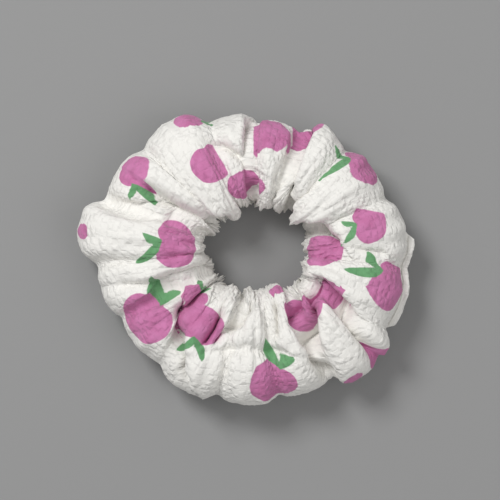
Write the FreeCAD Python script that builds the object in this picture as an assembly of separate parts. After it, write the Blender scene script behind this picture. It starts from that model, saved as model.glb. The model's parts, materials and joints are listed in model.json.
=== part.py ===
"""A fabric scrunchie: a strip of cloth sewn into a closed tube and gathered on a loop of flat elastic.

Row frame, millimetres: the ring lies flat on Z = 0 with its axis along +Z, and the origin is the centre
of the ring's box on that surface. +X runs to the side where the strip's two ends are joined.
Everything is built about the middle of the opening, and moved onto the origin at the end.
"""

import FreeCAD, Part
import math
import os

Vector = FreeCAD.Vector

# Cloth
CLOTH = 0.35                      # one layer of crinkled cotton
WALL = 0.8                        # the tube's wall: the gathered cloth, a little over two layers
ALLOWANCE = 5.0                   # cloth turned in past each seam
SEAM_THICK = 2 * CLOTH            # two edges pressed together
FLANGE = 2.5                      # width of the pinched edge along the turning gap
FLANGE_THICK = 4 * CLOTH          # both edges turned in, so four layers

# The puffs between the gathers: direction from the middle of the opening in degrees, then how far
# the outside and the inside of the ring are from it there, and how high the puff stands.
PUFFS = [
    (7.0, 50.8, 17.0, 26.5),
    (36.0, 48.0, 17.5, 28.0),
    (59.0, 46.5, 16.0, 27.0),
    (78.0, 43.5, 15.0, 25.0),
    (97.0, 45.5, 15.0, 26.5),
    (124.0, 51.0, 13.0, 28.0),
    (150.0, 52.0, 13.0, 26.0),
    (172.0, 58.0, 17.0, 27.5),
    (195.0, 51.5, 13.5, 26.5),
    (217.0, 49.5, 13.0, 26.0),
    (244.0, 51.5, 14.0, 27.5),
    (268.0, 50.5, 12.5, 28.0),
    (292.0, 50.0, 12.5, 27.0),
    (316.0, 55.0, 16.0, 27.5),
    (341.0, 50.5, 17.0, 27.0),
]
GATHER_OUTER = 3.6                # how far a gather draws the wall in on the outside
GATHER_INNER = 1.6                # and back from the opening
GATHER_TOP = 4.2                  # and down on top
GATHER_UNDER = 2.6                # and up underneath
SHOULDER = 0.27                   # where a puff is nearly full, as a share of the way from its gather
SHOULDER_DROP = (0.8, 0.3, 0.9, 0.5)   # outside, inside, top and under, short of the full puff
MIDDLE_SHARE = 0.47               # height of the widest part of a puff, as a share of its full height
SINK = 0.9                        # how much of a puff is pressed flat by the surface below
OUTLINE_POLES = 12                # round the tube
SQUARENESS = 0.86                 # 1 is an ellipse, and less is fuller towards the corners
FULLNESS = 1.05                   # a spline runs inside its poles, so the poles stand out by this
EVEN_STEP = 1.4                   # spacing of the points that a seam's outline is drawn through

# Elastic: one flat length, lapped and sewn
ELASTIC_RADIUS = 25.6             # to the inner face of the loop
ELASTIC_WIDTH = 6.0
ELASTIC_THICK = 1.0
LAP_LENGTH = 15.0
LAP_AT = 200.0                    # direction of the lap's middle
LAP_RAMP = 9.0                    # degrees over which the outer end steps out over the inner one
LAP_GAP = 0.02
MIDDLE_Z = 12.6                   # height of the elastic's middle and of the long seam

# Stitching
THREAD = 0.3                      # thread diameter
LIFT = 0.02                       # thread lies this far off the cloth between its holes
KNOT = 0.015                      # how much rounder the thread is where it turns into a hole
STITCH = 3.0                      # stitch length along the seams
SEAM_INSET = 0.9                  # from the wall's inner face to the long seam's line
END_SEAM_INSET = 1.8              # and to the end seam's line, which clears the pressed underside
END_SEAM_AT = -6.0                # direction of the seam that joins the strip's two ends
GAP_FROM, GAP_TO = -30.0, 7.0     # the turning gap in the long seam, sewn shut from outside
TOPSTITCH_OUT = 0.5               # from the wall's outer face to the line of topstitching
ZIGZAG_STEP = 2.3                 # degrees between the points of the zigzag on the lap
ZIGZAG_POINTS = 12
ZIGZAG_HALF = 1.9                 # half the zigzag's width

REACH = 200.0                     # larger than the whole ring, for cutting tools


def turned(radius, degrees, z=0.0):
    """The point at that distance and direction from the ring's axis."""
    angle = math.radians(degrees)
    return Vector(radius * math.cos(angle), radius * math.sin(angle), z)


def between(a, b):
    """The mean of two tuples, term by term."""
    return [(x + y) / 2 for x, y in zip(a, b)]


def ring_stations():
    """Where the tube is drawn round the ring, as (direction, outside, inside, top, bottom): each gather,
    then its puff's shoulder, crest and other shoulder."""
    stations = []
    for i, puff in enumerate(PUFFS):
        last = PUFFS[i - 1]
        following = PUFFS[(i + 1) % len(PUFFS)]
        at = puff[0]
        gather_at = (last[0] - (360.0 if i == 0 else 0.0) + at) / 2
        next_gather_at = (following[0] + (360.0 if following[0] < at else 0.0) + at) / 2
        outer, inner, top = between(last[1:], puff[1:])
        stations.append((gather_at, outer - GATHER_OUTER, inner + GATHER_INNER,
                         top - GATHER_TOP, GATHER_UNDER - SINK))
        outer, inner, top = puff[1:]
        shoulder = (outer - SHOULDER_DROP[0], inner + SHOULDER_DROP[1],
                    top - SHOULDER_DROP[2], SHOULDER_DROP[3] - SINK)
        stations.append((gather_at + SHOULDER * (at - gather_at), *shoulder))
        stations.append((at, outer, inner, top, -SINK))
        stations.append((next_gather_at - SHOULDER * (next_gather_at - at), *shoulder))
    return stations


def outline_poles(station, inset):
    """Poles of the tube's closed outline at one station, inset from its outside by that much."""
    at, outer, inner, top, bottom = station
    middle = (outer + inner) / 2
    half_width = (outer - inner) / 2 - inset
    waist = MIDDLE_SHARE * top
    poles = []
    for k in range(OUTLINE_POLES):
        angle = 2 * math.pi * k / OUTLINE_POLES
        across = math.copysign(abs(math.cos(angle)) ** SQUARENESS, math.cos(angle))
        up = math.copysign(abs(math.sin(angle)) ** SQUARENESS, math.sin(angle))
        half_height = (top - waist if up > 0 else waist - bottom) - inset
        poles.append(turned(middle + half_width * across * FULLNESS, at,
                            waist + half_height * up * FULLNESS))
    return poles


def tube_solid(inset):
    """The solid inside the tube's outside surface moved in by inset, or out if it is negative."""
    poles = [outline_poles(station, inset) for station in ring_stations()]
    around, across = len(poles), OUTLINE_POLES
    surface = Part.BSplineSurface()
    surface.buildFromPolesMultsKnots(
        poles, [1] * (around + 1), [1] * (across + 1),
        list(range(around + 1)), list(range(across + 1)), True, True, 3, 3)
    solid = Part.Solid(Part.Shell([surface.toShape()]))
    if solid.Volume < 0:
        solid.reverse()
    return solid


def above(height):
    """A block of everything above that height."""
    return Part.makeBox(2 * REACH, 2 * REACH, REACH, Vector(-REACH, -REACH, height))


def evened(wire):
    """The same closed outline as one spline through evenly spaced points."""
    points = wire.discretize(Number=round(wire.Length / EVEN_STEP) + 1)
    curve = Part.BSplineCurve()
    curve.interpolate(Points=points[:-1], PeriodicFlag=True)
    return Part.Wire([curve.toShape()])


def outer_edge(inset):
    """The tube's outer outline at the long seam's height, as a closed wire, inset by that much."""
    wires = tube_solid(inset).slice(Vector(0, 0, 1), MIDDLE_Z)
    return evened(max(wires, key=lambda wire: wire.BoundBox.DiagonalLength))


def cross_outline(inset):
    """The tube's outline across the tube where the end seam runs, as a closed wire, inset."""
    wires = tube_solid(inset).slice(turned(1.0, END_SEAM_AT + 90), 0.0)
    return evened(max(wires, key=lambda wire: wire.CenterOfMass.x))


def plate(wire, normal, thickness):
    """The area inside a flat wire, as a plate with that wire round its middle."""
    face = Part.Face(wire)
    face.translate(normal * (-thickness / 2))
    solid = face.extrude(normal * thickness)
    if solid.Volume < 0:
        solid.reverse()
    return solid


def wedge(start, end):
    """Everything between two directions, less than a half turn apart."""
    corners = [Vector(0, 0, 0), turned(REACH, start), turned(REACH, (start + end) / 2),
               turned(REACH, end), Vector(0, 0, 0)]
    return Part.Face(Part.makePolygon(corners)).extrude(Vector(0, 0, REACH))


def long_seam_allowance():
    """The two raw edges turned in along the outside of the ring, rooted in the wall."""
    up = Vector(0, 0, 1)
    rim = plate(outer_edge(WALL / 2), up, SEAM_THICK)
    return rim.cut(plate(outer_edge(WALL + ALLOWANCE), up, 2 * SEAM_THICK))


def end_seam_allowance():
    """The strip's two ends turned in, which make a rim across the tube, rooted in its wall."""
    along = turned(1.0, END_SEAM_AT + 90)
    rim = plate(cross_outline(WALL / 2), along, SEAM_THICK).common(above(WALL / 2))
    return rim.cut(plate(cross_outline(WALL + ALLOWANCE), along, 2 * SEAM_THICK))


def turning_gap_flange():
    """The pinched edge that stands out from the tube where the turning gap is sewn shut."""
    up = Vector(0, 0, 1)
    rim = plate(outer_edge(-FLANGE), up, FLANGE_THICK)
    ring = rim.cut(plate(outer_edge(WALL / 2), up, 2 * FLANGE_THICK))
    return ring.common(wedge(GAP_FROM, GAP_TO))


def fabric_cover(needle_holes):
    """The cloth tube: puffed and gathered, flat where it rests, hollow, with its edges turned in."""
    cavity = tube_solid(WALL).common(above(WALL))
    tube = tube_solid(0.0).common(above(0.0)).cut(cavity)
    cloth = tube.fuse([long_seam_allowance(), end_seam_allowance(), turning_gap_flange()])
    return cloth.cut(needle_holes)


def elastic_band(needle_holes):
    """The flat elastic: once round, then out over its own start for the length of the lap."""
    lap = math.degrees(LAP_LENGTH / (ELASTIC_RADIUS + ELASTIC_THICK))
    start = LAP_AT - lap / 2
    step_out = ELASTIC_THICK + LAP_GAP

    def side(radius):
        """One face of the band in plan: round the ring, the step out, and the lap."""
        ramp_from, ramp_to = start + 360 - LAP_RAMP, start + 360
        first = Part.Arc(turned(radius, start), turned(radius, (start + ramp_from) / 2),
                         turned(radius, ramp_from)).toShape()
        along = radius * math.radians(LAP_RAMP) / 3
        lead_in = turned(radius, ramp_from) + turned(along, ramp_from + 90)
        lead_out = turned(radius + step_out, ramp_to) - turned(along, ramp_to + 90)
        ramp = Part.BezierCurve()
        ramp.setPoles([turned(radius, ramp_from), lead_in, lead_out, turned(radius + step_out, ramp_to)])
        last = Part.Arc(turned(radius + step_out, ramp_to), turned(radius + step_out, ramp_to + lap / 2),
                        turned(radius + step_out, ramp_to + lap)).toShape()
        return [first, ramp.toShape(), last]

    inside, outside = side(ELASTIC_RADIUS), side(ELASTIC_RADIUS + ELASTIC_THICK)
    ends = [
        Part.makeLine(turned(ELASTIC_RADIUS, start), turned(ELASTIC_RADIUS + ELASTIC_THICK, start)),
        Part.makeLine(turned(ELASTIC_RADIUS + step_out, start + lap),
                      turned(ELASTIC_RADIUS + step_out + ELASTIC_THICK, start + lap)),
    ]
    outline = Part.Wire(Part.__sortEdges__(inside + outside + ends))
    band = Part.Face(outline).extrude(Vector(0, 0, ELASTIC_WIDTH))
    band.translate(Vector(0, 0, MIDDLE_Z - ELASTIC_WIDTH / 2))
    return band.cut(needle_holes)


def thread(holes, normals, half_thickness, side):
    """One thread of a lockstitch seam, on one side of the layers that it holds. It lies along the surface
    from hole to hole and dips to the middle of the layers at each, where it meets the other thread."""
    radius = THREAD / 2
    height = half_thickness + LIFT + radius
    tops = [hole + normal * (height * side) for hole, normal in zip(holes, normals)]
    pieces = [Part.makeCylinder(radius, height, hole, normal * side)
              for hole, normal in zip(holes, normals)]
    pieces += [Part.makeSphere(radius + KNOT, top) for top in tops]
    pieces += [Part.makeCylinder(radius, (b - a).Length, a, b - a) for a, b in zip(tops, tops[1:])]
    return pieces[0].multiFuse(pieces[1:])


def seam(name, holes, normals, half_thickness):
    """The needle thread and the bobbin thread of a seam, by node name, and the needle's holes."""
    depth = half_thickness + LIFT / 2
    punched = [Part.makeCylinder(THREAD / 2, 2 * depth, hole - normal * depth, normal)
               for hole, normal in zip(holes, normals)]
    threads = {
        f"{name}_needle_thread": thread(holes, normals, half_thickness, 1),
        f"{name}_bobbin_thread": thread(holes, normals, half_thickness, -1),
    }
    return threads, Part.makeCompound(punched)


def along_wire(wire, keep):
    """Stitch holes spaced along a closed wire, in order, for the points that keep() accepts."""
    points = wire.discretize(Number=round(wire.Length / STITCH) + 1)[:-1]
    kept = [keep(point) for point in points]
    first = next(i for i in range(len(points)) if kept[i] and not kept[i - 1])
    turned_points = points[first:] + points[:first]
    return [point for point in turned_points if keep(point)]


def direction(point):
    """Direction of a point from the ring's axis, from -180 to 180 degrees."""
    return math.degrees(math.atan2(point.y, point.x))


def long_seam():
    """The seam that makes the strip a tube: round the outside, but for the turning gap."""
    holes = along_wire(outer_edge(WALL + SEAM_INSET),
                       lambda p: not GAP_FROM < direction(p) < GAP_TO)
    return seam("long_seam", holes, [Vector(0, 0, 1)] * len(holes), SEAM_THICK / 2)


def gap_topstitch():
    """The visible seam that shuts the turning gap, through all four layers of the pinched edge."""
    margin = 1.0
    holes = along_wire(outer_edge(-TOPSTITCH_OUT),
                       lambda p: GAP_FROM + margin < direction(p) < GAP_TO - margin)
    return seam("gap_topstitch", holes, [Vector(0, 0, 1)] * len(holes), FLANGE_THICK / 2)


def end_seam():
    """The seam that joins the strip's two ends: across the tube, all the way round it."""
    along = turned(1.0, END_SEAM_AT + 90)
    middle = ELASTIC_RADIUS + ALLOWANCE
    holes = along_wire(cross_outline(WALL + END_SEAM_INSET),
                       lambda p: abs(p.z - MIDDLE_Z) > STITCH or math.hypot(p.x, p.y) < middle)
    return seam("end_seam", holes, [along] * len(holes), SEAM_THICK / 2)


def elastic_join():
    """The zigzag that sews the elastic's lap, worked along the band through both layers."""
    middle = ELASTIC_RADIUS + ELASTIC_THICK + LAP_GAP / 2
    first = LAP_AT - ZIGZAG_STEP * (ZIGZAG_POINTS - 1) / 2
    places = [first + ZIGZAG_STEP * k for k in range(ZIGZAG_POINTS)]
    holes = [turned(middle, at, MIDDLE_Z + ZIGZAG_HALF * (1 if k % 2 else -1))
             for k, at in enumerate(places)]
    normals = [turned(1.0, at) for at in places]
    return seam("elastic_join", holes, normals, ELASTIC_THICK + LAP_GAP / 2)


def main():
    long_threads, long_holes = long_seam()
    top_threads, top_holes = gap_topstitch()
    end_threads, end_holes = end_seam()
    join_threads, join_holes = elastic_join()
    nodes = {
        "fabric_cover": fabric_cover([long_holes, top_holes, end_holes]),
        "elastic_band": elastic_band([join_holes]),
        **long_threads, **top_threads, **end_threads, **join_threads,
    }
    box = nodes["fabric_cover"].optimalBoundingBox()
    to_origin = Vector(-(box.XMin + box.XMax) / 2, -(box.YMin + box.YMax) / 2, 0)
    print(f"cover {box.XLength:.2f} x {box.YLength:.2f} x {box.ZLength:.2f}, from z {box.ZMin:.3f}")
    print(f"moved by {to_origin.x:.3f}, {to_origin.y:.3f}")
    os.makedirs("parts", exist_ok=True)
    for name, shape in nodes.items():
        shape.translate(to_origin)
        print(f"{name}: {len(shape.Solids)} solid, {shape.Volume:.2f} mm3, valid {shape.isValid()}")
        shape.exportStep(f"parts/{name}.step")


if __name__ == "__main__":
    main()
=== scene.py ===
import bpy, json, math
import numpy as np
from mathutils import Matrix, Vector

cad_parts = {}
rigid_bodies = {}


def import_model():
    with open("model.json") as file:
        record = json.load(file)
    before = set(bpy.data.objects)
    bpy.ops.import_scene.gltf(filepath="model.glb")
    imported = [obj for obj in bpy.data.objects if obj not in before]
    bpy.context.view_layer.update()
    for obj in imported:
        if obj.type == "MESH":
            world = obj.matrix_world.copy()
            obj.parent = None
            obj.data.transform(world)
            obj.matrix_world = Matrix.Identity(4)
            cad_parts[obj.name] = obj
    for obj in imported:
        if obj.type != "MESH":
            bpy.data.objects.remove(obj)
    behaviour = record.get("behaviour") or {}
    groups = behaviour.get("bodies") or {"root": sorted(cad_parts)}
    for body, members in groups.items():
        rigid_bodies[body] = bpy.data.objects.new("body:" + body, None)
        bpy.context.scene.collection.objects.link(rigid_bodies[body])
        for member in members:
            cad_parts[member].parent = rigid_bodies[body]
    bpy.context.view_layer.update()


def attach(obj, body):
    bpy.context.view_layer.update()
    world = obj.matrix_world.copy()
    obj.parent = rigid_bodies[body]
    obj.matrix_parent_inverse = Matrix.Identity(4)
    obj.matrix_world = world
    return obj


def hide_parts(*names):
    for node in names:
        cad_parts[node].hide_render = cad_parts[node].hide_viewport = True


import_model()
mm = 0.001


def deselectAll():
    if bpy.context.object and bpy.context.object.mode != "OBJECT":
        bpy.ops.object.mode_set(mode="OBJECT")
    bpy.ops.object.select_all(action="DESELECT")


def linear(hexColour, alpha=1.0):
    # sRGB hex to the linear values that a shader takes
    values = [int(hexColour[i:i + 2], 16) / 255 for i in (1, 3, 5)]
    return [v / 12.92 if v <= 0.04045 else ((v + 0.055) / 1.055) ** 2.4 for v in values] + [alpha]


def addNode(tree, kind, inputs=None, **settings):
    # a node with its settings, and each input either a value or another node's output
    node = tree.nodes.new(kind)
    for name, value in settings.items():
        setattr(node, name, value)
    for name, value in (inputs or {}).items():
        if isinstance(value, bpy.types.NodeSocket):
            tree.links.new(value, node.inputs[name])
        else:
            node.inputs[name].default_value = value
    return node


# The cloth tube, in millimetres from the middle of the opening
cover = {
    "centre": (2.31, 2.61),        # the opening's middle in the frame
    "flat": (110.0, 380.0),        # the strip before it was sewn
    "around": 560, "across": 150,  # mesh steps
    # each puff's direction in degrees, then how far its outside and inside are, and its height
    "puffs": [
        (7, 50.8, 17, 26.5), (36, 48, 17.5, 28), (59, 46.5, 16, 27), (78, 43.5, 15, 25),
        (97, 45.5, 15, 26.5), (124, 51, 13, 28), (150, 52, 13, 26), (172, 58, 17, 27.5),
        (195, 51.5, 13.5, 26.5), (217, 49.5, 13, 26), (244, 51.5, 14, 27.5), (268, 50.5, 12.5, 28),
        (292, 50, 12.5, 27), (316, 55, 16, 27.5), (341, 50.5, 17, 27),
    ],
    "gather": (3.6, 1.6, 4.2, 2.6),          # drawn in outside, inside, on top, underneath
    "shoulder": (0.27, 0.8, 0.3, 0.9, 0.5),  # where, then short of the puff outside, inside, top, under
    "waist": 0.47,                           # height of the widest part, as a share of the top
    "sink": 0.9,                             # how much of a puff is pressed flat underneath
    "squareness": 0.86, "fullness": 1.05,    # of the tube's outline
    "poles": 12,                             # round the outline
    "seamMargin": 0.02,                      # share of the outline left for the long seam, each side
    "floorSoftness": (0.25, 1.2, 0.02),      # where pressing starts, how fast it flattens, lowest point
}

# The long seam and the pinched edge that shuts the turning gap
seam = {
    "height": 12.6,
    "gap": (-30.0, 7.0), "fade": 2.5,   # degrees
    "lip": 2.5, "lipHalf": 0.64,        # how far it stands out, and half its thickness
    "root": 1.2,                        # how much thicker it is where it leaves the tube
    "lipSteps": 3, "insideSteps": 5,
    "allowance": 5.0,                   # raw edge turned in
    "apart": 0.2,                       # half the space between the two raw edges
    "calm": (2.5, 36.0),                # no folds this near the seam's height, outside this radius
}

# Folds: counts are round the ring, depths in mm, and waves is how many random waves make a fold wander
folds = {
    "seed": 7,
    "gathers": {"count": 38, "depth": 2.1, "waves": 16, "wander": 7.0, "sharpness": 0.75, "level": 0.62,
                "everywhere": 0.03, "inside": 0.42, "under": 1.6},
    "uneven": {"waves": 10, "usual": 0.8, "spread": 0.5, "least": 0.1, "most": 1.6},
    "swells": {"count": 21, "depth": 1.1, "waves": 14, "wander": 3.4, "sharpness": 0.8, "level": 0.6,
               "everywhere": 0.12, "inside": 0.6, "under": 1.3},
    "inwardFrom": 48.0, "inwardOver": 32.0,   # radius where the folds start to deepen, and over how much
    "dents": {"waves": 24, "depth": 0.5},
    "puckers": {"depth": 0.16, "around": 118, "across": 34, "waves": 12, "wander": (5.0, 4.0)},
    "ringWaves": (3, 26), "tubeWaves": (-2, 3), "waveStart": 6.28,   # ranges that a random wave is drawn from
}

# What every laid crease shares: a sharp valley less a wide one, and the step where cloth laps over
creaseShape = {
    "depth": 3.1, "sharp": 1.2, "sharpSpread": 1.25, "wide": 0.2, "wideSpread": 4,
    "lap": 1.8, "lapSpread": 3.2, "lapEdge": 0.8,
    "facingFrom": 0.35, "facingOver": 0.5,   # creases fade out where the cloth faces down
}

# Creases seen from above: the points they run through (mm from the origin), depth, half width,
# and how far the cloth on their left stands over the cloth on their right
creases = [
    ([(-6.5, 12.9), (-11.8, 13.3), (-20, 16.2), (-31.4, 23.6)], 2.6, 1.3, -3.0),
    ([(-20.3, -15.6), (-20.8, -26), (-21.6, -36.8), (-19.6, -39)], 2.6, 1.3, 2.4),
    ([(-8.5, -7.4), (-14, -11.5), (-19.3, -17.2)], 2.6, 1.3, 1.5),
    ([(-8.2, -17.2), (-10, -21.5), (-13.4, -26.4)], 2.8, 1.2, 1.0),
    ([(1.3, -14.9), (-3, -21), (-8.5, -26.4)], 2.0, 1.3, 1.0),
    ([(9.2, -14), (9.4, -24)], 1.8, 1.1, 0.6),
    ([(14.4, -9.5), (15, -20), (19, -26)], 2.2, 1.3, -1.0),
    ([(21.6, -10), (21.6, -26), (24, -33), (28.2, -37.8)], 2.8, 1.3, 1.8),
    ([(24.2, -6.7), (33, -15.6), (38, -24.7), (43, -30)], 2.8, 1.3, 2.6),
    ([(18.5, 11.5), (24.9, 10.3), (29, 6)], 2.4, 1.2, 1.6),
    ([(15, 16.2), (14.4, 25.4), (17, 34), (21, 43.4)], 2.6, 1.3, -2.0),
    ([(2.6, 20), (2, 35.9), (2.9, 46)], 2.6, 1.3, -1.6),
    ([(-7.9, 36.8), (-3, 34), (1.3, 30.9)], 1.8, 1.5, 0.8),
    ([(-7, 9.5), (-15, 10), (-24, 13)], 1.6, 1.5, 0.8),
    ([(-28, -9.5), (-20, -5), (-12, -1)], 2.2, 1.6, 1.0),
    ([(44, 1), (33, 3.5), (27, 2)], 1.0, 1.6, 0.6),
    ([(-46, 20), (-36, 17), (-27, 18)], 1.2, 2.0, 0.5),
    ([(-40, -8), (-30, -8), (-24, -4)], 1.2, 2.0, 0.5),
    ([(-14, -30), (0, -28), (12, -30)], 0.9, 2.0, 0.4),
]


def stations():
    # where the tube is drawn: each gather, then its puff's shoulder, crest and other shoulder
    rows = []
    puffs = cover["puffs"]
    drawOuter, drawInner, drawTop, drawUnder = cover["gather"]
    where, lessOuter, lessInner, lessTop, lessUnder = cover["shoulder"]
    for i, (at, outer, inner, top) in enumerate(puffs):
        last, following = puffs[i - 1], puffs[(i + 1) % len(puffs)]
        before = (last[0] - (360 if i == 0 else 0) + at) / 2
        after = (following[0] + (360 if following[0] < at else 0) + at) / 2
        rows.append((before, (last[1] + outer) / 2 - drawOuter, (last[2] + inner) / 2 + drawInner,
                     (last[3] + top) / 2 - drawTop, drawUnder - cover["sink"]))
        side = (outer - lessOuter, inner + lessInner, top - lessTop, lessUnder - cover["sink"])
        rows.append((before + where * (at - before), *side))
        rows.append((at, outer, inner, top, -cover["sink"]))
        rows.append((after - where * (after - at), *side))
    return np.array(rows)


def tubePoles():
    turn = 2 * math.pi * np.arange(cover["poles"]) / cover["poles"]
    across = np.sign(np.cos(turn)) * np.abs(np.cos(turn)) ** cover["squareness"] * cover["fullness"]
    up = np.sign(np.sin(turn)) * np.abs(np.sin(turn)) ** cover["squareness"] * cover["fullness"]
    angle, outer, inner, top, bottom = [column[:, None] for column in stations().T]
    waist = cover["waist"] * top
    radius = (outer + inner) / 2 + (outer - inner) / 2 * across
    height = waist + np.where(up > 0, top - waist, waist - bottom) * up
    angle = np.radians(angle)
    return np.stack([radius * np.cos(angle), radius * np.sin(angle), height + 0 * angle], axis=-1)


def splineWeights(places, count):
    # weights of a closed cubic spline's poles at each place along it
    weights = np.zeros((len(places), count))
    start = np.floor(places).astype(int)
    t = places - start
    basis = [
        (1 - t) ** 3 / 6,
        (3 * t ** 3 - 6 * t ** 2 + 4) / 6,
        (-3 * t ** 3 + 3 * t ** 2 + 3 * t + 1) / 6,
        t ** 3 / 6,
    ]
    for k in range(4):
        weights[np.arange(len(places)), (start - 1 + k) % count] += basis[k]
    return weights


def smoothTube():
    # the tube before it is folded: points round the ring, then round the tube from the long seam
    poles = tubePoles()
    around, across = len(poles), len(poles[0])
    margin = cover["seamMargin"]
    ringPlaces = np.arange(cover["around"] + 1) / cover["around"] * around
    tubePlaces = (margin + np.linspace(0, 1, cover["across"] + 1) * (1 - 2 * margin)) * across
    return np.einsum("ip,jq,pqc->ijc", splineWeights(ringPlaces % around, around),
                     splineWeights(tubePlaces % across, across), poles)


def normalsOf(points):
    alongRing = np.roll(points[:-1], -1, 0) - np.roll(points[:-1], 1, 0)
    alongRing = np.concatenate([alongRing, alongRing[:1]])
    normal = np.cross(alongRing, np.gradient(points, axis=1))
    return normal / np.maximum(np.linalg.norm(normal, axis=-1, keepdims=True), 1e-9)


def wavyField(rng, direction, around, waves, strength):
    # random waves that close round the ring and round the tube
    field = 0
    for _ in range(waves):
        k, m = rng.integers(*folds["ringWaves"]), rng.integers(*folds["tubeWaves"])
        height = rng.normal()
        wave = np.sin(k * direction + m * around + rng.uniform(0, folds["waveStart"]))
        field = field + height * wave / math.sqrt(waves)
    return strength * field


def radialFolds(rng, kind, direction, tube):
    # round-topped folds, sharp in their valleys, that wander as they cross the tube
    phase = kind["count"] * direction + wavyField(rng, direction, tube, kind["waves"], kind["wander"])
    return np.abs(np.sin(phase / 2)) ** kind["sharpness"] - kind["level"]


def segmentDistance(x, y, x0, y0, x1, y1):
    lengthSquared = (x1 - x0) ** 2 + (y1 - y0) ** 2
    along = np.clip(((x - x0) * (x1 - x0) + (y - y0) * (y1 - y0)) / lengthSquared, 0, 1)
    return np.hypot(x - x0 - along * (x1 - x0), y - y0 - along * (y1 - y0))


def creaseDistance(x, y, path):
    # distance to a crease, and which side of it: 1 on its left, -1 on its right
    nearest = np.full(x.shape, 1e9)
    side = np.zeros(x.shape)
    for (x0, y0), (x1, y1) in zip(path, path[1:]):
        away = segmentDistance(x, y, x0, y0, x1, y1)
        left = np.sign((x1 - x0) * (y - y0) - (y1 - y0) * (x - x0))
        side = np.where(away < nearest, left, side)
        nearest = np.minimum(nearest, away)
    return nearest, side


def layCreases(shift, x, y, facingUp):
    # the cloth's shift with the laid creases added, where one panel laps over the next
    shape = creaseShape
    for path, depth, width, lap in creases:
        away, side = creaseDistance(x, y, path)
        sharp = shape["sharp"] * np.exp(-away / (shape["sharpSpread"] * width))
        wide = shape["wide"] * np.exp(-(away / (shape["wideSpread"] * width)) ** 2)
        step = np.exp(-away / (shape["lapSpread"] * width)) * (1 - np.exp(-away / shape["lapEdge"]))
        shift = shift - shape["depth"] * depth * facingUp * (sharp - wide)
        shift = shift + shape["lap"] * lap * facingUp * side * step
    return shift


def foldCover(points, rng):
    normal = normalsOf(points)
    x, y, z = points[..., 0], points[..., 1], points[..., 2]
    direction = np.arctan2(y, x)
    radius = np.hypot(x, y)
    tube = np.linspace(0, 2 * math.pi, points.shape[1])[None, :] + 0 * direction
    inward = np.clip((folds["inwardFrom"] - radius) / folds["inwardOver"], 0, 1)
    under = np.clip(-normal[..., 2], 0, 1)
    # gathers towards the elastic and underneath, deeper in some places than others
    kind, uneven = folds["gathers"], folds["uneven"]
    fold = radialFolds(rng, kind, direction, tube)
    strength = kind["everywhere"] + kind["inside"] * inward ** 2 + kind["under"] * under
    unevenness = uneven["usual"] + wavyField(rng, direction, tube, uneven["waves"], uneven["spread"])
    strength = strength * np.clip(unevenness, uneven["least"], uneven["most"])
    shift = kind["depth"] * strength * fold
    # broader swells between them
    kind = folds["swells"]
    fold = radialFolds(rng, kind, direction, tube)
    shift += kind["depth"] * fold * (kind["everywhere"] + kind["inside"] * inward + kind["under"] * under)
    facingUp = np.clip((normal[..., 2] + creaseShape["facingFrom"]) / creaseShape["facingOver"], 0, 1)
    shift = layCreases(shift, x + cover["centre"][0], y + cover["centre"][1], facingUp)
    # soft dents, and the small puckers of the crinkled cloth
    dents, puckers = folds["dents"], folds["puckers"]
    shift += wavyField(rng, 2 * direction, 2 * tube, dents["waves"], dents["depth"])
    alongWander, acrossWander = puckers["wander"]
    alongWaves = wavyField(rng, direction, tube, puckers["waves"], alongWander)
    acrossWaves = wavyField(rng, direction, tube, puckers["waves"], acrossWander)
    alongPucker = np.sin(puckers["around"] * direction + alongWaves)
    acrossPucker = np.sin(puckers["across"] * tube + acrossWaves)
    shift += puckers["depth"] * alongPucker * acrossPucker
    # the cloth lies calm beside the long seam, on the outside of the ring
    reach, outside = seam["calm"]
    calm = 1 - np.exp(-((z - seam["height"]) / reach) ** 2) * (radius > outside)
    return points + normal * (shift * calm)[..., None]


def pressOnFloor(points):
    start, rate, lowest = cover["floorSoftness"]
    z = points[..., 2]
    z[:] = np.where(z < start, start * np.exp(np.minimum(z - start, 0) * rate), z)
    z[:] = np.maximum(z, lowest)


def closeSeam(points):
    # the lip of the topstitched gap, and both raw edges turned in along the long seam
    direction = np.degrees(np.arctan2(points[:, 0, 1], points[:, 0, 0]))
    gapFrom, gapTo = seam["gap"]
    fadeIn = np.clip((direction - gapFrom) / seam["fade"], 0, 1)
    inGap = fadeIn * np.clip((gapTo - direction) / seam["fade"], 0, 1)
    radial = points[:, :1] * [1, 1, 0]
    radial = radial / np.linalg.norm(radial, axis=-1, keepdims=True)
    meet = (points[:, :1] + points[:, -1:]) / 2
    meet[..., 2] = seam["height"]
    half = np.array([0, 0, seam["lipHalf"]])
    apart = np.array([0, 0, seam["apart"]])
    lipOut = inGap[:, None, None] * seam["lip"] * radial
    steps, insideSteps = seam["lipSteps"], seam["insideSteps"]
    upper = [meet + lipOut * k / steps + half * (1 if k else seam["root"]) for k in range(steps + 1)]
    lower = [meet + lipOut * k / steps - half * (1 if k else seam["root"]) for k in range(steps + 1)]
    inside = [meet + lipOut * (1 - k / insideSteps) - radial * seam["allowance"] * k / insideSteps
              for k in range(insideSteps + 1)]
    first = [row + apart for row in inside[::-1]] + upper[::-1]
    last = lower + [row - apart for row in inside]
    return np.concatenate([*first, points[:, 2:-2], *last], axis=1)


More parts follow.
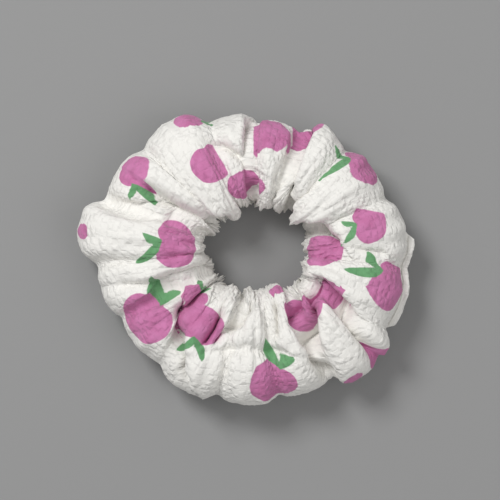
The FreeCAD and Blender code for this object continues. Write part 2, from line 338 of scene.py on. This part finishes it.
# The print's fruit: x, y (mm from the origin, seen from above), 1 on top or -1 underneath, direction of
# the stalk, size, 1 if its leaves show, and where a seam or fold cuts it: (direction, distance) or None
fruits = [
    (-22.4, 5.2, 1, 175, 15.5, 1, None), (-32.2, -19.4, 1, 45, 17, 1, None),
    (7.9, -39.0, 1, 70, 15.5, 1, None), (46.3, -8.3, 1, 140, 17, 1, (62, 6.5)),
    (37.7, 30.6, 1, 190, 15, 1, None), (39.8, 11.7, 1, 185, 12.5, 1, (80, 4)),
    (24.6, 2.8, 1, 95, 13, 0, None), (27.2, -11.3, 1, 140, 10, 0, None), (16.9, -17.3, 1, 100, 12, 0, None),
    (9.8, -10.3, 1, 90, 5, 0, None), (44.7, -32.9, 1, 60, 11, 0, None), (34.9, -38.2, 1, 0, 8, 0, None),
    (-13.8, -21.4, 1, 235, 14, 1, None), (-16.3, -13.3, 1, 45, 9, 1, None),
    (-18.4, 45.5, 1, -20, 11, 1, None), (-11.4, 31.3, 1, 120, 14, 0, (30, 3)),
    (-1.2, 24.8, 1, 80, 11, 0, None), (7.0, 40.4, 1, 80, 15, 0, (180, 4.5)),
    (18.1, 39.1, 1, 90, 12, 0, (180, 3)), (-35.5, 28.0, 1, 265, 12, 1, None),
    (-52.0, 9.2, 1, 90, 6, 0, None), (-40, 8, -1, 200, 15, 1, None), (-28, 28, -1, 120, 15, 1, None),
    (-8, 36, -1, 60, 15, 1, None), (12, 33, -1, 300, 15, 1, None), (30, 20, -1, 20, 15, 1, None),
    (42, 5, -1, 250, 15, 1, None), (30, -20, -1, 150, 15, 1, None), (10, -30, -1, 80, 15, 1, None),
    (-12, -34, -1, 330, 15, 1, None), (-30, -22, -1, 200, 15, 1, None), (-22, 8, -1, 40, 14, 1, None),
    (16, -14, -1, 10, 13, 1, None),
]

# Shapes in the print, in units of half a fruit's size unless a comment says otherwise
printShape = {
    "far": 9.0,                                             # mm, where there is no print
    "middlePoints": 60,                                     # mesh points that place a fruit's middle
    "reach": 2.2, "slopeReach": 0.6, "thickness": 0.75,     # times the size: patch, its slope, its depth
    "round": 0.98, "wider": 0.05, "lobing": 0.02,
    "dimple": 0.20, "dimpleWidth": 0.32,                    # the width in radians
    "leafRoot": 0.72, "leafCurve": 0.12,
    "leafTaper": (0.96, 0.06, 0.7),                         # stretch, start, sharpness
    "leaves": ((-0.95, 1.2, 0.20), (0.30, 0.8, 0.17)),      # lean (radians), length, half width
}


def fruitOutline(angle):
    # a round fruit, a little wider than long, with a dimple at the stalk and a faint lobing
    shape = printShape
    dimple = shape["dimple"] * np.exp(-(angle / shape["dimpleWidth"]) ** 2)
    return shape["round"] - shape["wider"] * np.cos(2 * angle) - dimple + shape["lobing"] * np.cos(5 * angle)


def leafDistance(u, v, lean, reach, width):
    v = v - printShape["leafRoot"]
    along = u * math.sin(lean) + v * math.cos(lean)
    aside = u * math.cos(lean) - v * math.sin(lean)
    s = np.clip(along / reach, 0, 1)
    spine = np.hypot(along - s * reach, aside + printShape["leafCurve"] * np.sin(math.pi * s))
    stretch, start, sharpness = printShape["leafTaper"]
    return spine - width * np.sin(math.pi * np.clip(s * stretch + start, 0, 1)) ** sharpness


def clothPlane(around, size, side, stalk):
    # the cloth's local slope, as its normal, the way to the stalk, and the way across
    close = np.linalg.norm(around, axis=1) < size * printShape["slopeReach"]
    _, _, axes = np.linalg.svd(around[close] - around[close].mean(axis=0), full_matrices=False)
    up = axes[2] * np.sign(axes[2][2] * side + 1e-6)
    stalkWay = np.array([math.cos(math.radians(stalk)), math.sin(math.radians(stalk)), 0])
    stalkWay = stalkWay - up * stalkWay.dot(up)
    stalkWay /= np.linalg.norm(stalkWay)
    return up, stalkWay, np.cross(stalkWay, up)


def paintPrint(mesh, place):
    # distances in mm to the nearest fruit and leaf, below zero inside
    far = printShape["far"]
    fruit = np.full(len(place), far)
    leaf = np.full(len(place), far)
    for x, y, side, stalk, size, leafy, cut in fruits:
        onSide = (place[:, 2] - seam["height"]) * side > 0
        flat = np.where(onSide, np.hypot(place[:, 0] - x, place[:, 1] - y), 1e9)
        middle = place[np.argsort(flat)[:printShape["middlePoints"]]].mean(axis=0)
        near = np.linalg.norm(place - middle, axis=1) < printShape["reach"] * size
        around = place[near] - middle
        up, stalkWay, sideWay = clothPlane(around, size, side, stalk)
        u, v = around @ sideWay / (size / 2), around @ stalkWay / (size / 2)
        offCloth = np.abs(around @ up) > size * printShape["thickness"]
        body = (np.hypot(u, v) - fruitOutline(np.arctan2(u, v))) * size / 2
        leaves = 1e3
        for shape in printShape["leaves"]:
            leaves = np.minimum(leaves, leafDistance(u, v, *shape) * size / 2)
        if cut:
            way = math.radians(cut[0])
            body = np.maximum(body, around[:, 0] * math.cos(way) + around[:, 1] * math.sin(way) - cut[1])
        body[offCloth] = far
        leaves = np.where(offCloth | (leafy == 0), far, leaves)
        fruit[near] = np.minimum(fruit[near], body)
        leaf[near] = np.minimum(leaf[near], leaves)
    for name, values in (("fruit", fruit), ("leaf", leaf)):
        attribute = mesh.attributes.new(name, "FLOAT", "POINT")
        attribute.data.foreach_set("value", values.astype(np.float32))


def makeCover():
    points = foldCover(smoothTube(), np.random.default_rng(folds["seed"]))
    pressOnFloor(points)
    points = closeSeam(points)
    deselectAll()
    around, across = points.shape[0] - 1, points.shape[1] - 1
    bpy.ops.mesh.primitive_grid_add(x_subdivisions=around, y_subdivisions=across, size=1)
    ring = bpy.context.object
    ring.name = "clothCover"
    mesh = ring.data
    grid = np.zeros(len(mesh.vertices) * 3)
    mesh.vertices.foreach_get("co", grid)
    grid = grid.reshape(-1, 3)
    column = np.rint((grid[:, 0] + 0.5) * around).astype(int)
    row = np.rint((grid[:, 1] + 0.5) * across).astype(int)
    place = points[column, row] + [*cover["centre"], 0]
    mesh.vertices.foreach_set("co", (place * mm).ravel())
    paintPrint(mesh, place)
    # the strip's two ends meet, which closes the ring
    bpy.ops.object.mode_set(mode="EDIT")
    bpy.ops.mesh.select_all(action="SELECT")
    bpy.ops.mesh.remove_doubles(threshold=1e-6)
    bpy.ops.mesh.normals_make_consistent(inside=False)
    bpy.ops.object.mode_set(mode="OBJECT")
    bpy.ops.object.shade_smooth()
    return ring


# Pigment-printed cotton crinkle: colours in sRGB, and pattern sizes in mm
cotton = {
    "cloth": "#F1EFEA",
    "fruit": ("#B5608F", "#DC8CBE"), "leaf": ("#4F8A57", "#7CB481"),
    "check": 1.9, "seen": (330, 110),   # a crinkle check, and the strip as it lies along and across
    "irregular": 0.6,                   # how far the checks stray from a grid
    "yarn": 0.5, "blotch": 4,
    "raggedEdge": 0.9, "softEdge": 0.15,
    "yarnRelief": 0.15, "reliefDepth": 0.8,
    "roughness": 0.85, "sheen": 0.15,
    "weaveDetail": 2.0, "blotchDetail": 3.0,
}


def printedCrinkleCotton():
    # matt off-white plain-weave cotton, shrunk into a checked crinkle, with a soft pigment print
    material = bpy.data.materials.new("printedCrinkleCotton")
    material.use_nodes = True
    tree = material.node_tree
    tree.nodes.clear()
    out = addNode(tree, "ShaderNodeOutputMaterial")
    coordinates = addNode(tree, "ShaderNodeTexCoord")
    place = coordinates.outputs["Object"]
    checks = [length / cotton["check"] for length in cotton["seen"]]
    strip = addNode(tree, "ShaderNodeMapping", {"Vector": coordinates.outputs["UV"], "Scale": (*checks, 1)})
    crinkle = addNode(tree, "ShaderNodeTexVoronoi",
                      {"Vector": strip.outputs["Vector"], "Scale": 1.0, "Randomness": cotton["irregular"]},
                      distance="CHEBYCHEV")
    weave = addNode(tree, "ShaderNodeTexNoise", {"Vector": place, "Scale": 1 / (cotton["yarn"] * mm),
                                                 "Detail": cotton["weaveDetail"]})
    blotch = addNode(tree, "ShaderNodeTexNoise", {"Vector": place, "Scale": 1 / (cotton["blotch"] * mm),
                                                  "Detail": cotton["blotchDetail"]})
    ragged = addNode(tree, "ShaderNodeMath", {0: blotch.outputs["Fac"], 1: 0.5}, operation="SUBTRACT")

    colour = linear(cotton["cloth"])
    for name in ("fruit", "leaf"):
        distance = addNode(tree, "ShaderNodeAttribute", attribute_name=name)
        edge = addNode(tree, "ShaderNodeMath",
                       {0: ragged.outputs[0], 1: cotton["raggedEdge"], 2: distance.outputs["Fac"]},
                       operation="MULTIPLY_ADD")
        soft = cotton["softEdge"]
        mask = addNode(tree, "ShaderNodeMapRange",
                       {"Value": edge.outputs[0], "From Min": soft, "From Max": -soft})
        dark, light = cotton[name]
        ink = addNode(tree, "ShaderNodeMix",
                      {"Factor": blotch.outputs["Fac"], "A": linear(dark), "B": linear(light)},
                      data_type="RGBA")
        printed = addNode(tree, "ShaderNodeMix",
                          {"Factor": mask.outputs["Result"], "A": colour, "B": ink.outputs[2]},
                          data_type="RGBA")
        colour = printed.outputs[2]

    relief = addNode(tree, "ShaderNodeMath",
                     {0: weave.outputs["Fac"], 1: cotton["yarnRelief"], 2: crinkle.outputs["Distance"]},
                     operation="MULTIPLY_ADD")
    bump = addNode(tree, "ShaderNodeBump",
                   {"Height": relief.outputs[0], "Strength": 1.0, "Distance": cotton["reliefDepth"] * mm},
                   invert=True)
    shader = addNode(tree, "ShaderNodeBsdfPrincipled",
                     {"Base Color": colour, "Roughness": cotton["roughness"], "Sheen Weight": cotton["sheen"],
                      "Normal": bump.outputs["Normal"]})
    tree.links.new(shader.outputs[0], out.inputs["Surface"])
    return material


# White yarns: colour, ribs along their height, and roughness
yarns = {
    "spunPolyesterThread": {"colour": "#F2F0EA", "ribScale": 900, "roughness": 0.6},
    "braidedElastic": {"colour": "#EFEDE8", "ribScale": 500, "roughness": 0.75},
}
# the yarn's base colour is painted darker in the rib grooves, down to this share, as painted shade between
# the plies
yarnRib = {"distortion": 1.5, "paintedGrooveShade": 0.8, "bump": 0.4, "height": 0.1}   # the height in mm


def whiteYarn(name):
    # spun thread or braided elastic, with a fine rib across it whose grooves carry painted shade
    yarn = yarns[name]
    material = bpy.data.materials.new(name)
    material.use_nodes = True
    tree = material.node_tree
    shader = tree.nodes["Principled BSDF"]
    place = addNode(tree, "ShaderNodeTexCoord").outputs["Object"]
    rib = addNode(tree, "ShaderNodeTexWave",
                  {"Vector": place, "Scale": yarn["ribScale"], "Distortion": yarnRib["distortion"]},
                  bands_direction="Z")
    # painted shade: the colour darkens towards the rib grooves, where the bump is lowest
    ribShade = addNode(tree, "ShaderNodeMapRange",
                   {"Value": rib.outputs["Fac"], "To Min": yarnRib["paintedGrooveShade"], "To Max": 1.0})
    tint = addNode(tree, "ShaderNodeHueSaturation",
                   {"Value": ribShade.outputs["Result"], "Color": linear(yarn["colour"])})
    bump = addNode(tree, "ShaderNodeBump", {"Height": rib.outputs["Fac"], "Strength": yarnRib["bump"],
                                            "Distance": yarnRib["height"] * mm})
    tree.links.new(tint.outputs["Color"], shader.inputs["Base Color"])
    tree.links.new(bump.outputs["Normal"], shader.inputs["Normal"])
    shader.inputs["Roughness"].default_value = yarn["roughness"]
    return material


ring = makeCover()
ring.data.materials.append(printedCrinkleCotton())
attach(ring, "root")
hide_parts("fabric_cover")
print("cover made")

threadYarn = whiteYarn("spunPolyesterThread")
elasticYarn = whiteYarn("braidedElastic")
for node in bpy.data.objects:
    if node.type == "MESH" and ("thread" in node.name or "elastic" in node.name):
        for slot in node.material_slots:
            slot.material = elasticYarn if node.name.startswith("elastic_band") else threadYarn
print("threads and elastic finished")

studio = {
    "floor": "#949494", "floorSize": 6, "floorRoughness": 0.9,
    "cameraHeight": 1.2,       # straight above, in metres
    "focusHeight": 0.014,      # the ring's mid height
    "viewWidth": 0.162946429,  # metres from side to side of the view, at that height
    "shift": (0.008, 0.019),   # the ring stands a little left of and below the middle
    "sensorWidth": 36,         # mm
    "nearest": 0.01,           # metres
    "skyStrength": 0.42,
    # place, size, power
    "keyLamp": ((-0.5, 0.55, 1.0), 0.4, 9.0),
    "fillLamp": ((0.7, -0.3, 1.0), 0.9, 2.6),
}


def mattGreyPaper():
    # uncoated backdrop paper, with no gloss
    material = bpy.data.materials.new("mattGreyPaper")
    material.use_nodes = True
    shader = material.node_tree.nodes["Principled BSDF"]
    shader.inputs["Base Color"].default_value = linear(studio["floor"])
    shader.inputs["Roughness"].default_value = studio["floorRoughness"]
    return material


deselectAll()
bpy.ops.mesh.primitive_plane_add(size=studio["floorSize"], location=(0, 0, 0))
floor = bpy.context.object
floor.name = "studioFloor"
floor.data.materials.append(mattGreyPaper())

for name in ("keyLamp", "fillLamp"):
    place, size, power = studio[name]
    bpy.ops.object.light_add(type="AREA", location=place)
    lamp = bpy.context.object
    lamp.name = name
    lamp.data.size = size
    lamp.data.energy = power
    lamp.rotation_euler = (-Vector(place)).to_track_quat("-Z", "Y").to_euler()

world = bpy.data.worlds.new("softStudio")
bpy.context.scene.world = world
world.use_nodes = True
sky = world.node_tree.nodes["Background"]
sky.inputs["Color"].default_value = (1, 1, 1, 1)
sky.inputs["Strength"].default_value = studio["skyStrength"]

bpy.ops.object.camera_add(location=(0, 0, studio["cameraHeight"]), rotation=(0, 0, 0))
camera = bpy.context.object
camera.data.sensor_width = studio["sensorWidth"]
distance = studio["cameraHeight"] - studio["focusHeight"]
camera.data.lens = studio["sensorWidth"] * distance / studio["viewWidth"]
camera.data.clip_start = studio["nearest"]
camera.data.shift_x, camera.data.shift_y = studio["shift"]
bpy.context.scene.camera = camera
bpy.context.scene.view_settings.view_transform = "Standard"
print("studio ready")
